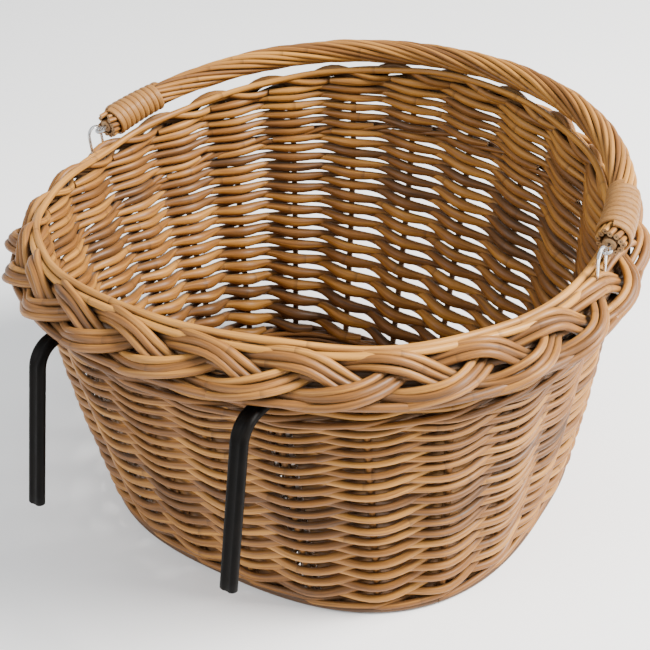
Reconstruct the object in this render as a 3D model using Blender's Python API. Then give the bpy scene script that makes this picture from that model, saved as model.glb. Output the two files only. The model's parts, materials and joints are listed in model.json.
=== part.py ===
"""Willow handlebar basket with a folding roped handle and two sleeved steel hooks.

Units are metres. +Z is up. The origin is level with the underside of the base, below the middle
of the oval border. +X is the long axis of the oval, and -Y is the side with the hooks.
"""

import math

import bmesh
import bpy
from mathutils import Vector

# ---- driving dimensions: the oval wall -------------------------------------------------------
BASE_HALF_X = 0.1476        # outer face of the wall at the floor
BASE_FRONT_Y = 0.1340       # the front is the handlebar side, where the wall is steeper
BASE_BACK_Y = 0.1120
FRONT_SQUARENESS = 2.6      # exponents of the oval at the floor, 2 is an ellipse
BACK_SQUARENESS = 3.2
MOUTH_HALF_X = 0.1773       # outer face of the wall under the border
MOUTH_HALF_Y = 0.1665
MOUTH_SQUARENESS = 2.05
FLARE = 1.25                # above 1 the wall leans out more near the base
WALL_HALF = 0.0050          # half the thickness of the woven wall
WALE_HALF = 0.0056          # the wales stand a little proud
UPSETT_TOP = 0.055          # wall fractions, 0 at the floor and 1 under the border
WEAVE_BOTTOM = 0.0575
WEAVE_TOP = 0.930
WALE_BOTTOM = 0.9325
WEAVE_LEVELS = 4            # straight steps in the height of the side weave
MIDDLE_Y = (BASE_BACK_Y - BASE_FRONT_Y) / 2    # middle of the base, front to back

# ---- the plaited border ----------------------------------------------------------------------
RIM_HALF_X = 0.1800         # middle of the plait
RIM_HALF_Y = 0.1692
RIM_Z = 0.1903              # mean height of the middle of the plait
RIM_SADDLE = 0.0093         # the two ends dip and the long sides rise by this much
WALL_TO_RIM = 0.0098        # from the top of the wall up to the middle of the plait
PLAIT_SLANT = math.radians(44.5)
PLAIT_STRANDS = 3
PLAIT_WAVES = 8             # full waves of one strand round the rim, three stakes to a wave
PLAIT_SWING = 0.0104        # how far a strand's middle swings across the plait
PLAIT_LIFT = 0.0050         # how far it rises and falls
RIBBON_HALF_WIDTH = 0.0045
RIBBON_HALF_THICK = 0.0019
RIBBON_FLAT = 0.6           # share of a strand's width that is flat

# ---- stakes and base -------------------------------------------------------------------------
STAKES = 24
STAKE_RADIUS = 0.0024
STAKE_FOOT = 0.004          # wall fractions at which a stake starts and ends
STAKE_HEAD = 0.998
CLEARANCE = 0.00040         # room left round every rod that runs inside another piece
BASE_THICK = 0.0090
SHORT_STICKS = 6
SHORT_STICK_RADIUS = 0.0040
SHORT_STICK_PITCH = 0.0350
LONG_STICKS = 3
LONG_STICK_RADIUS = 0.0021
LONG_STICK_PITCH = 0.0048
FAN_START = 0.096           # the long sticks run side by side to here, then open out
FAN_ANGLE = math.radians(24)
FAN_STEP = 0.0040           # an outer long stick ends this much sooner than the middle one
BASE_BORDER = 0.0060        # solid edge left round the base beyond the ends of the sticks

# ---- hooks -----------------------------------------------------------------------------------
HOOK_STAKES = (-67.5, -112.5)    # degrees round the oval, each at a stake
HOOK_HALF_SPACING = 0.0660
HOOK_RUN_Z = 0.1795              # height of the short run under the border
HOOK_CORNER_Y = -0.1768          # where the run and the leg would meet if they weren't rounded
HOOK_BEND = 0.0140
HOOK_LEAN = math.radians(17.4)   # the leg leans out at the bottom
HOOK_END_Z = 0.0920
HOOK_WIRE_RADIUS = 0.0018
HOOK_WIRE_PITCH = 0.0040         # between the two wires of one hairpin
HOOK_TAIL_OFFSET = 0.0046        # a tail's distance from the middle of its stake
HOOK_SLOT_EXTRA = 0.0030         # the slot in the top wale is wider, as the wires leave at a slant
SLEEVE_START = 0.0125            # from the middle of the wall to the sleeve's mouth
SLEEVE_HALF_WIDTH = 0.0051
SLEEVE_HALF_THICK = 0.0028
SLEEVE_WALL = 0.0007

# ---- handle ----------------------------------------------------------------------------------
PIVOT_Z = 0.2030
BOW_HALF_SPAN = 0.1755
BOW_REACH = 0.1640
BOW_SQUARENESS = 2.07
BOW_TILT = math.radians(6.5)     # the folded handle rises towards its middle
BOW_START = 0.0110               # from the pivot to the cut ends of the rods
CORE_RADIUS = 0.0041
ROPE_STRANDS = 4
ROPE_INNER = 0.0049
ROPE_OUTER = 0.0076
ROPE_PITCH = 0.190
ROPE_HALF_ANGLE = math.radians(41)
WHIPPING_START = 0.0070          # from the cut ends of the rods
WHIPPING_LENGTH = 0.0400
WHIPPING_INNER = 0.0079
WHIPPING_OUTER = 0.0092
WHIPPING_TIP = 0.0100           # the binding widens towards the cut ends of the rods
FITTING_WIRE = 0.0010            # radius of the steel wire of eyes and staples
STAPLE_ARC = 0.0056
STAPLE_END_Z = 0.1722
EYE_RADIUS = 0.0026
PIN_HALF_PITCH = 0.00115
PIN_LENGTH = 0.0220
PIN_THROAT = 0.0061              # from the middle of the eye to where its legs run parallel
PIN_HOLE = 0.0026                # radius of the hole in the core
PIN_HOLE_START = 0.0070          # from the pivot, just outside the core's cut end
PIN_HOLE_SPARE = 0.0010          # the hole is deeper than the pin by this much

# ---- steps of the curved pieces --------------------------------------------------------------
BASE_CORNERS = 48
STRAND_STEPS = 9                 # to one wave of the plait
ROPE_STEPS = 52
CORE_STEPS = 40
BOW_FINE_STEPS = 400

UP = Vector((0.0, 0.0, 1.0))


# ---- materials -------------------------------------------------------------------------------
def make_material(name, colour, roughness, metallic=0.0):
    material = bpy.data.materials.new(name)
    material.use_nodes = True
    shader = material.node_tree.nodes["Principled BSDF"]
    shader.inputs["Base Color"].default_value = (*colour, 1.0)
    shader.inputs["Roughness"].default_value = roughness
    shader.inputs["Metallic"].default_value = metallic
    return material


def clear_scene():
    for old in list(bpy.data.objects):
        bpy.data.objects.remove(old, do_unlink=True)


# ---- mesh helpers ----------------------------------------------------------------------------
def make_object(name, points, faces, material, parent=None):
    """One closed body. A child's mesh is kept relative to its parent, which sits on the joint."""
    shift = parent.location if parent else Vector()
    mesh = bpy.data.meshes.new(name)
    mesh.from_pydata([Vector(p) - shift for p in points], [], faces)
    shell = bmesh.new()
    shell.from_mesh(mesh)
    bmesh.ops.recalc_face_normals(shell, faces=shell.faces)
    if shell.calc_volume(signed=True) < 0.0:
        bmesh.ops.reverse_faces(shell, faces=shell.faces)
    shell.to_mesh(mesh)
    shell.free()
    mesh.shade_smooth()
    mesh.set_sharp_from_angle(angle=math.radians(50))
    mesh.materials.append(material)
    obj = bpy.data.objects.new(name, mesh)
    bpy.context.collection.objects.link(obj)
    obj.parent = parent
    return obj


def loft(rings, closed=False):
    """Points and faces of a skin over rings of equal length, capped unless it closes on itself."""
    size = len(rings[0])
    points = [p for ring in rings for p in ring]
    faces = []
    for k in range(len(rings) if closed else len(rings) - 1):
        here = k * size
        after = ((k + 1) % len(rings)) * size
        for j in range(size):
            step = (j + 1) % size
            faces.append((here + j, here + step, after + step, after + j))
    if not closed:
        last = (len(rings) - 1) * size
        faces.append(tuple(range(size)))
        faces.append(tuple(range(last, last + size)))
    return points, faces


def circle_section(radius, sides):
    return [(radius * math.cos(2 * math.pi * j / sides), radius * math.sin(2 * math.pi * j / sides))
            for j in range(sides)]


def stadium_section(half_width, half_thick, steps=5):
    """A slot outline: two straight sides joined by half circles."""
    straight = half_width - half_thick
    outline = []
    for side in (1, -1):
        for j in range(steps + 1):
            angle = -math.pi / 2 + math.pi * j / steps
            outline.append((side * (straight + half_thick * math.cos(angle)),
                            side * half_thick * math.sin(angle)))
    return outline


def tangents(path, closed=False):
    count = len(path)
    result = []
    for k in range(count):
        ahead = path[(k + 1) % count] if closed or k < count - 1 else path[k]
        behind = path[k - 1] if closed or k > 0 else path[k]
        result.append((ahead - behind).normalized())
    return result


def place_section(section, middle, along, side_hint):
    """The section's points around middle, square to along, first axis nearest to side_hint."""
    side = (side_hint - along * side_hint.dot(along)).normalized()
    lift = along.cross(side)
    return [middle + side * a + lift * b for a, b in section]


def sweep(path, section, side_hint, closed=False):
    """side_hint is one vector for the whole path, or a list with one for each point."""
    hints = side_hint if isinstance(side_hint, list) else [side_hint] * len(path)
    rings = [place_section(section, middle, along, hint)
             for middle, along, hint in zip(path, tangents(path, closed), hints)]
    return loft(rings, closed)


def resample(path, count):
    """Points evenly spaced along a polyline."""
    lengths = [0.0]
    for a, b in zip(path, path[1:]):
        lengths.append(lengths[-1] + (b - a).length)
    result = []
    k = 0
    for i in range(count):
        target = lengths[-1] * i / (count - 1)
        while k < len(path) - 2 and lengths[k + 1] < target:
            k += 1
        share = (target - lengths[k]) / (lengths[k + 1] - lengths[k])
        result.append(path[k].lerp(path[k + 1], share))
    return result


def cut(target, cutter):
    cutter.hide_render = True
    cutter.display_type = "WIRE"
    boolean = target.modifiers.new("cut", "BOOLEAN")
    boolean.operation = "DIFFERENCE"
    boolean.object = cutter


# ---- the oval wall ---------------------------------------------------------------------------
def oval(half_x, half_y, squareness, angle):
    """A point of the oval and its outward direction in plan."""
    c, s = math.cos(angle), math.sin(angle)
    reach = (abs(c) ** squareness + abs(s) ** squareness) ** (-1.0 / squareness)
    x, y = c * reach, s * reach
    slope = squareness - 1.0
    outward = Vector((math.copysign(abs(x) ** slope, x) / half_x,
                      math.copysign(abs(y) ** slope, y) / half_y, 0.0)).normalized()
    return Vector((half_x * x, half_y * y, 0.0)), outward


def base_shape(side):
    """Half depth and squareness of the base, on the front for a negative side."""
    if side < 0.0:
        return BASE_FRONT_Y, FRONT_SQUARENESS
    return BASE_BACK_Y, BACK_SQUARENESS


def rim_height(angle):
    return RIM_Z - RIM_SADDLE * math.cos(2 * angle)


def wall_point(angle, fraction, out=0.0, along=0.0):
    """A point of the wall's middle surface, moved outwards and along the wall."""
    base_y, base_squareness = base_shape(math.sin(angle))
    spread = 1.0 - (1.0 - fraction) ** FLARE
    half_x = BASE_HALF_X + (MOUTH_HALF_X - BASE_HALF_X) * spread
    half_y = base_y + (MOUTH_HALF_Y - base_y) * spread
    squareness = base_squareness + (MOUTH_SQUARENESS - base_squareness) * spread
    point, outward = oval(half_x, half_y, squareness, angle)
    sideways = UP.cross(outward)
    height = fraction * (rim_height(angle) - WALL_TO_RIM)
    return point + outward * (out - WALL_HALF) + sideways * along + UP * height


def stake_angle(k):
    return 2 * math.pi * (k + 0.5) / STAKES


def is_hook_stake(k):
    degrees = [h % 360.0 for h in HOOK_STAKES]
    return any(abs(math.degrees(stake_angle(k)) - d) < 1.0 for d in degrees)


def channel_half_width(k):
    if is_hook_stake(k):
        return HOOK_TAIL_OFFSET + HOOK_WIRE_RADIUS + CLEARANCE
    return STAKE_RADIUS + CLEARANCE


def woven_band(name, bottom, top, half_thick, levels, material, open_at_hooks=False):
    """A band of wall round the oval, with an upright channel for every stake.

    Each stake has a sector of ten points at every level: outer and inner face at the sector's
    start, and outer face, channel and inner face on both sides of the stake.
    """
    channel = STAKE_RADIUS + CLEARANCE
    points = []
    for level in range(levels + 1):
        fraction = bottom + (top - bottom) * level / levels
        for k in range(STAKES):
            start = stake_angle(k) - math.pi / STAKES
            middle = stake_angle(k)
            points.append(wall_point(start, fraction, half_thick))
            points.append(wall_point(start, fraction, -half_thick))
            half = channel_half_width(k)
            if open_at_hooks and is_hook_stake(k):
                half += HOOK_SLOT_EXTRA
            for side in (-half, half):
                for out in (half_thick, channel, -channel, -half_thick):
                    points.append(wall_point(middle, fraction, out, side))
    row = STAKES * 10
    faces = []
    for k in range(STAKES):
        here, after = k * 10, ((k + 1) % STAKES) * 10
        outer_start, inner_start = here, here + 1
        outer_a, chan_a_out, chan_a_in, inner_a = range(here + 2, here + 6)
        outer_b, chan_b_out, chan_b_in, inner_b = range(here + 6, here + 10)
        outer_end, inner_end = after, after + 1
        slot = open_at_hooks and is_hook_stake(k)
        walls = [(outer_start, outer_a), (outer_b, outer_end), (inner_a, inner_start),
                 (inner_b, inner_a), (inner_end, inner_b), (chan_a_out, chan_a_in),
                 (chan_a_in, chan_b_in), (chan_b_in, chan_b_out)]
        caps = [(outer_start, outer_a, chan_a_out, chan_a_in, inner_a, inner_start),
                (outer_b, outer_end, inner_end, inner_b, chan_b_in, chan_b_out),
                (chan_a_in, chan_b_in, inner_b, inner_a)]
        if slot:
            walls += [(outer_a, chan_a_out), (chan_b_out, outer_b)]
        else:
            walls += [(outer_a, outer_b), (chan_b_out, chan_a_out)]
            caps.append((outer_a, outer_b, chan_b_out, chan_a_out))
        for level in range(levels):
            for a, b in walls:
                low, high = level * row, (level + 1) * row
                faces.append((low + a, low + b, high + b, high + a))
        faces += caps
        faces += [tuple(levels * row + p for p in cap) for cap in caps]
    used = sorted({p for face in faces for p in face})
    renumber = {old: new for new, old in enumerate(used)}
    faces = [tuple(renumber[p] for p in face) for face in faces]
    return make_object(name, [points[p] for p in used], faces, material)


def build_wall(willow):
    woven_band("upsett_wale", 0.0, UPSETT_TOP, WALE_HALF, 1, willow)
    woven_band("side_weave", WEAVE_BOTTOM, WEAVE_TOP, WALL_HALF, WEAVE_LEVELS, willow)
    woven_band("top_wale", WALE_BOTTOM, 1.0, WALE_HALF, 1, willow, open_at_hooks=True)


def build_stakes(willow):
    weave = [WEAVE_BOTTOM + (WEAVE_TOP - WEAVE_BOTTOM) * j / WEAVE_LEVELS
             for j in range(WEAVE_LEVELS + 1)]
    for k in range(STAKES):
        angle = stake_angle(k)
        path = [wall_point(angle, fraction) for fraction in (STAKE_FOOT, *weave, STAKE_HEAD)]
        _, outward = oval(MOUTH_HALF_X, MOUTH_HALF_Y, MOUTH_SQUARENESS, angle)
        points, faces = sweep(path, circle_section(STAKE_RADIUS, 6), outward)
        make_object(f"stake_{k + 1:02d}", points, faces, willow)


# ---- the base --------------------------------------------------------------------------------
def base_outline(inset):
    return [wall_point(2 * math.pi * j / BASE_CORNERS, 0.0, -inset) for j in range(BASE_CORNERS)]


def prism(name, outline, low, high, material):
    rings = [[Vector((p.x, p.y, z)) for p in outline] for z in (low, high)]
    points, faces = loft(rings)
    return make_object(name, points, faces, material)


def base_edge_y(x, inset, side):
    """Where a line across the base at x meets the base's edge, less the inset."""
    base_y, squareness = base_shape(side)
    half_x = BASE_HALF_X - WALL_HALF - inset
    half_y = base_y - WALL_HALF - inset
    return side * half_y * (1.0 - abs(x / half_x) ** squareness) ** (1.0 / squareness)


def long_stick_path(place):
    """Side by side in the middle of the base, fanned out towards both ends."""
    y = MIDDLE_Y + place * LONG_STICK_PITCH
    end_x = BASE_HALF_X - WALL_HALF - WALE_HALF - BASE_BORDER - abs(place) * FAN_STEP
    end_y = y + place * (end_x - FAN_START) * math.tan(FAN_ANGLE)
    height = BASE_THICK / 2
    return [Vector((-end_x, end_y, height)), Vector((-FAN_START, y, height)),
            Vector((FAN_START, y, height)), Vector((end_x, end_y, height))]


def bar(path, half_width, half_height):
    section = [(half_width, half_height), (-half_width, half_height),
               (-half_width, -half_height), (half_width, -half_height)]
    return sweep(path, section, Vector((0.0, 1.0, 0.0)))


def extend(path, extra):
    first = path[0] + (path[0] - path[1]).normalized() * extra
    last = path[-1] + (path[-1] - path[-2]).normalized() * extra
    return [first] + path[1:-1] + [last]


def build_base(willow):
    height = BASE_THICK / 2
    edge = WALE_HALF + CLEARANCE
    plate = prism("base_weave", base_outline(edge), 0.0, BASE_THICK, willow)
    places = [k - (LONG_STICKS - 1) / 2 for k in range(LONG_STICKS)]
    for k, place in enumerate(places):
        path = long_stick_path(place)
        points, faces = sweep(path, circle_section(LONG_STICK_RADIUS, 8), UP)
        make_object(f"base_stick_long_{k + 1}", points, faces, willow)
        room = LONG_STICK_RADIUS + CLEARANCE
        points, faces = bar(extend(path, CLEARANCE), room, room)
        cut(plate, make_object(f"cutter_long_{k + 1}", points, faces, willow))
    slit_half = LONG_STICK_PITCH * (LONG_STICKS - 1) / 2 + LONG_STICK_RADIUS + CLEARANCE
    reach = SHORT_STICK_PITCH * SHORT_STICKS / 2
    across = [Vector((-reach, MIDDLE_Y, height)), Vector((reach, MIDDLE_Y, height))]
    points, faces = bar(across, slit_half, LONG_STICK_RADIUS + CLEARANCE)
    slit = make_object("cutter_slit", points, faces, willow)
    for k in range(SHORT_STICKS):
        x = (k - (SHORT_STICKS - 1) / 2) * SHORT_STICK_PITCH
        path = [Vector((x, base_edge_y(x, edge + BASE_BORDER, side), height)) for side in (-1, 1)]
        points, faces = sweep(path, circle_section(SHORT_STICK_RADIUS, 8), UP)
        cut(make_object(f"base_stick_short_{k + 1}", points, faces, willow), slit)
        room = SHORT_STICK_RADIUS + CLEARANCE
        ends = extend(path, CLEARANCE)
        rings = [[p + Vector((dx, 0.0, dz)) for dx, dz in
                  ((room, 2 * room), (-room, 2 * room), (-room, -2 * room), (room, -2 * room))]
                 for p in ends]
        points, faces = loft(rings)
        cut(plate, make_object(f"cutter_short_{k + 1}", points, faces, willow))


# ---- the border ------------------------------------------------------------------------------
def plait_point(angle, phase):
    """Middle of one strand, and the direction out of the plait's face there."""
    middle, outward = oval(RIM_HALF_X, RIM_HALF_Y, MOUTH_SQUARENESS, angle)
    middle = middle + UP * rim_height(angle)
    across = outward * math.cos(PLAIT_SLANT) - UP * math.sin(PLAIT_SLANT)
    face = outward * math.sin(PLAIT_SLANT) + UP * math.cos(PLAIT_SLANT)
    turn = PLAIT_WAVES * angle + phase
    swing = PLAIT_SWING * math.cos(turn)
    lift = PLAIT_LIFT * math.sin(2 * turn)
    return middle + across * swing + face * lift, face


def ribbon_section():
    half = RIBBON_HALF_WIDTH
    flat = half * RIBBON_FLAT
    thick = RIBBON_HALF_THICK
    return [(thick, flat), (0.0, half), (-thick, flat), (-thick, -flat), (0.0, -half), (thick, -flat)]


def build_border(willow, staple_cutter):
    steps = PLAIT_WAVES * STRAND_STEPS
    for k in range(PLAIT_STRANDS):
        phase = 2 * math.pi * k / PLAIT_STRANDS
        stations = [plait_point(2 * math.pi * j / steps, phase) for j in range(steps)]
        path = [point for point, _ in stations]
        faces_out = [face for _, face in stations]
        points, faces = sweep(path, ribbon_section(), faces_out, closed=True)
        strand = make_object(f"plait_strand_{k + 1}", points, faces, willow)
        cut(strand, staple_cutter)


# ---- staples ---------------------------------------------------------------------------------
def staple_path(side):
    """Up one leg, over the pivot and down the other leg."""
    x = side * BOW_HALF_SPAN
    path = [Vector((x, STAPLE_ARC, STAPLE_END_Z)), Vector((x, STAPLE_ARC, PIVOT_Z))]
    for j in range(1, 10):
        angle = math.pi * j / 10
        path.append(Vector((x, STAPLE_ARC * math.cos(angle), PIVOT_Z + STAPLE_ARC * math.sin(angle))))
    return path + [Vector((x, -STAPLE_ARC, PIVOT_Z)), Vector((x, -STAPLE_ARC, STAPLE_END_Z))]


def build_staples(steel):
    for side, name in ((-1, "left"), (1, "right")):
        points, faces = sweep(staple_path(side), circle_section(FITTING_WIRE, 8),
                              Vector((1.0, 0.0, 0.0)))
        make_object(f"staple_{name}", points, faces, steel)


def make_staple_cutter(steel):
    """Four upright holes, one for each staple leg, through whatever strand lies there."""
    beyond = 0.01
    length = 0.05
    points, faces = [], []
    section = circle_section(FITTING_WIRE + CLEARANCE, 8)
    for side in (-1, 1):
        for leg in (-1, 1):
            foot = Vector((side * BOW_HALF_SPAN, leg * STAPLE_ARC, STAPLE_END_Z - beyond))
            rings = [[foot + UP * rise + Vector((a, b, 0.0)) for a, b in section]
                     for rise in (0.0, length)]
            leg_points, leg_faces = loft(rings)
            faces += [tuple(p + len(points) for p in face) for face in leg_faces]
            points += leg_points
    return make_object("cutter_staples", points, faces, steel)


# ---- hooks -----------------------------------------------------------------------------------
def hook_run(start_y):
    """Side view of the sleeved part: out under the border, round the bend and down the leg."""
    turn = math.pi / 2 - HOOK_LEAN
    setback = HOOK_BEND * math.tan(turn / 2)
    bend_y = HOOK_CORNER_Y + setback
    run = [(start_y, HOOK_RUN_Z)]
    for j in range(7):
        angle = turn * j / 6
        run.append((bend_y - HOOK_BEND * math.sin(angle),
                    HOOK_RUN_Z - HOOK_BEND * (1.0 - math.cos(angle))))
    y, z = run[-1]
    run.append((y - (z - HOOK_END_Z) * math.tan(HOOK_LEAN), HOOK_END_Z))
    return run


def hook_tail(angle, offset, lowest):
    """One tail of the hairpin, up the wall beside its stake and out over the weave's top edge."""
    top = wall_point(angle, WEAVE_TOP, 0.0, offset)
    fractions = [lowest + (WEAVE_TOP - lowest) * j / WEAVE_LEVELS for j in range(WEAVE_LEVELS)]
    path = [wall_point(angle, f, 0.0, offset) for f in fractions]
    rise = HOOK_RUN_Z - top.z
    corner = [top]
    for j in (1, 2, 3):
        bend = math.pi / 2 * j / 3
        corner.append(Vector((top.x, top.y - rise * (1.0 - math.cos(bend)),
                              top.z + rise * math.sin(bend))))
    return path + corner


def hook_start_y(angle):
    return wall_point(angle, WEAVE_TOP).y - SLEEVE_START


def build_hook(name, degrees, steel, sleeve_black):
    angle = math.radians(degrees)
    x = math.copysign(HOOK_HALF_SPACING, math.cos(angle))
    half_pitch = HOOK_WIRE_PITCH / 2
    mouth_y = hook_start_y(angle)
    run = hook_run(mouth_y)
    side = Vector((1.0, 0.0, 0.0))
    hook_end_y, hook_end_z = run[-1]
    stop = Vector((x, hook_end_y, hook_end_z))
    back_up = (Vector((x, *run[-2])) - stop).normalized()
    floor = stop + back_up * (SLEEVE_WALL + CLEARANCE + HOOK_WIRE_RADIUS + half_pitch)
    legs = []
    for sign in (-1, 1):
        tail = hook_tail(angle, sign * HOOK_TAIL_OFFSET, WEAVE_BOTTOM)
        leg = [Vector((x + sign * half_pitch, y, z)) for y, z in run[:-1]]
        legs.append(tail + leg + [floor + side * sign * half_pitch])
    loop = []
    for j in range(1, 4):
        turn = math.pi * j / 4
        loop.append(floor + side * half_pitch * -math.cos(turn) - back_up * half_pitch * math.sin(turn))
    path = legs[0] + loop + legs[1][::-1]
    points, faces = sweep(path, circle_section(HOOK_WIRE_RADIUS, 6), side_hints_along(path))
    make_object(f"hook_wire_{name}", points, faces, steel)
    build_sleeve(name, x, run, sleeve_black)


def side_hints_along(path):
    """A side direction carried along the path without twisting."""
    directions = tangents(path)
    hint = directions[0].orthogonal().normalized()
    hints = []
    for before, after in zip([directions[0]] + directions, directions):
        hint = before.rotation_difference(after) @ hint
        hint = (hint - after * hint.dot(after)).normalized()
        hints.append(hint.copy())
    return hints


def build_sleeve(name, x, run, sleeve_black):
    """A closed-ended sleeve: cavity floor, up the inside, round the mouth and down the outside."""
    outside = [Vector((x, y, z)) for y, z in run]
    down = (outside[-1] - outside[-2]).normalized()
    inside = outside[:-1] + [outside[-1] - down * SLEEVE_WALL]
    side = Vector((1.0, 0.0, 0.0))
    inner = stadium_section(SLEEVE_HALF_WIDTH - SLEEVE_WALL, SLEEVE_HALF_THICK - SLEEVE_WALL)
    outer = stadium_section(SLEEVE_HALF_WIDTH, SLEEVE_HALF_THICK)
    inner_rings = [place_section(inner, p, t, side) for p, t in zip(inside, tangents(inside))]
    outer_rings = [place_section(outer, p, t, side) for p, t in zip(outside, tangents(outside))]
    points, faces = loft(inner_rings[::-1] + outer_rings)
    make_object(f"hook_sleeve_{name}", points, faces, sleeve_black)


# ---- handle ----------------------------------------------------------------------------------
def bow_point(angle):
    point, _ = oval(BOW_HALF_SPAN, BOW_REACH, BOW_SQUARENESS, angle)
    return Vector((point.x, point.y * math.cos(BOW_TILT), PIVOT_Z + point.y * math.sin(BOW_TILT)))


def bow_path(count):
    """Evenly spaced points of the bow from the +X end to the -X end."""
    first = math.asin(BOW_START / BOW_REACH)
    span = math.pi - 2 * first
    dense = [bow_point(first + span * j / BOW_FINE_STEPS) for j in range(BOW_FINE_STEPS + 1)]
    return resample(dense, count)


def bow_normal():
    return Vector((0.0, -math.sin(BOW_TILT), math.cos(BOW_TILT)))


def path_length(path):
    return sum((b - a).length for a, b in zip(path, path[1:]))


def rope_section(middle_angle):
    outer = [(-1.0, ROPE_OUTER), (-1 / 3, ROPE_OUTER), (1 / 3, ROPE_OUTER), (1.0, ROPE_OUTER)]
    inner = [(1.0, ROPE_INNER), (0.0, ROPE_INNER), (-1.0, ROPE_INNER)]
    return [(radius * math.cos(middle_angle + share * ROPE_HALF_ANGLE),
             radius * math.sin(middle_angle + share * ROPE_HALF_ANGLE))
            for share, radius in outer + inner]


def build_rope(willow, pivot):
    path = bow_path(ROPE_STEPS)
    total = path_length(path)
    for k in range(ROPE_STRANDS):
        rings = []
        for j, (middle, along) in enumerate(zip(path, tangents(path))):
            run = total * j / (ROPE_STEPS - 1)
            twist = 2 * math.pi * (run / ROPE_PITCH + k / ROPE_STRANDS)
            rings.append(place_section(rope_section(twist), middle, along, bow_normal()))
        points, faces = loft(rings)
        make_object(f"handle_rope_{k + 1}", points, faces, willow, pivot)


def build_core(willow, pivot):
    points, faces = sweep(bow_path(CORE_STEPS), circle_section(CORE_RADIUS, 10), bow_normal())
    core = make_object("handle_core", points, faces, willow, pivot)
    inward = bow_direction()
    for side, name in ((-1, "left"), (1, "right")):
        start = Vector((side * BOW_HALF_SPAN, 0.0, PIVOT_Z))
        path = [start + inward * PIN_HOLE_START,
                start + inward * (STAPLE_ARC + PIN_LENGTH + PIN_HOLE_SPARE)]
        points, faces = sweep(path, circle_section(PIN_HOLE, 8), Vector((1.0, 0.0, 0.0)))
        cut(core, make_object(f"cutter_pin_{name}", points, faces, willow, pivot))


def bow_direction():
    """The way the bow leaves both pivots."""
    return Vector((0.0, math.cos(BOW_TILT), math.sin(BOW_TILT)))


def build_whippings(cane, pivot):
    """Bands of cane round both ends, each a tube along the bow."""
    stations = 6
    sides = 12
    total_path = bow_path(BOW_FINE_STEPS)
    step = path_length(total_path) / (len(total_path) - 1)
    for name, ordered in (("right", total_path), ("left", total_path[::-1])):
        picks = [round((WHIPPING_START + WHIPPING_LENGTH * j / (stations - 1)) / step)
                 for j in range(stations)]
        path = [ordered[p] for p in picks]
        outside, inside = [], []
        inner = circle_section(WHIPPING_INNER, sides)
        for j, (middle, along) in enumerate(zip(path, tangents(path))):
            radius = WHIPPING_TIP + (WHIPPING_OUTER - WHIPPING_TIP) * j / (stations - 1)
            outer = circle_section(radius, sides)
            outside.append(place_section(outer, middle, along, bow_normal()))
            inside.append(place_section(inner, middle, along, bow_normal()))
        points, faces = loft(outside + inside[::-1], closed=True)
        make_object(f"whipping_{name}", points, faces, cane, pivot)


def build_eyes(steel, pivot):
    """A split pin at each end: a ring round the staple and two legs side by side in the core."""
    side_axis = Vector((1.0, 0.0, 0.0))
    inward = bow_direction()
    spread = PIN_HALF_PITCH + FITTING_WIRE * 0.3
    gap = math.asin(spread / EYE_RADIUS)
    steps = 14
    for side, name in ((-1, "left"), (1, "right")):
        middle = Vector((side * BOW_HALF_SPAN, 0.0, PIVOT_Z)) + inward * STAPLE_ARC
        path = [middle + inward * PIN_LENGTH + side_axis * PIN_HALF_PITCH,
                middle + inward * PIN_THROAT + side_axis * PIN_HALF_PITCH]
        for j in range(steps + 1):
            angle = gap + (2 * math.pi - 2 * gap) * j / steps
            path.append(middle + inward * EYE_RADIUS * math.cos(angle)
                        + side_axis * EYE_RADIUS * math.sin(angle))
        path += [middle + inward * PIN_THROAT - side_axis * PIN_HALF_PITCH,
                 middle + inward * PIN_LENGTH - side_axis * PIN_HALF_PITCH]
        points, faces = sweep(path, circle_section(FITTING_WIRE, 8), bow_normal())
        make_object(f"split_pin_{name}", points, faces, steel, pivot)


def make_pivot():
    pivot = bpy.data.objects.new("handle_pivot", None)
    pivot.location = (0.0, 0.0, PIVOT_Z)
    bpy.context.collection.objects.link(pivot)
    return pivot


def main():
    clear_scene()
    willow = make_material("willow", (0.55, 0.33, 0.15), 0.5)
    cane = make_material("cane", (0.66, 0.44, 0.22), 0.4)
    sleeve_black = make_material("sleeve_black", (0.012, 0.012, 0.013), 0.35)
    steel = make_material("steel", (0.75, 0.75, 0.76), 0.25, 1.0)
    pivot = make_pivot()
    build_base(willow)
    build_wall(willow)
    build_stakes(willow)
    build_border(willow, make_staple_cutter(steel))
    build_staples(steel)
    build_hook("left", HOOK_STAKES[1], steel, sleeve_black)
    build_hook("right", HOOK_STAKES[0], steel, sleeve_black)
    build_core(willow, pivot)
    build_rope(willow, pivot)
    build_whippings(cane, pivot)
    build_eyes(steel, pivot)


main()
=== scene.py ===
import json
import math
import random

import bpy
import numpy as np
from mathutils import Matrix, Vector


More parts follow.
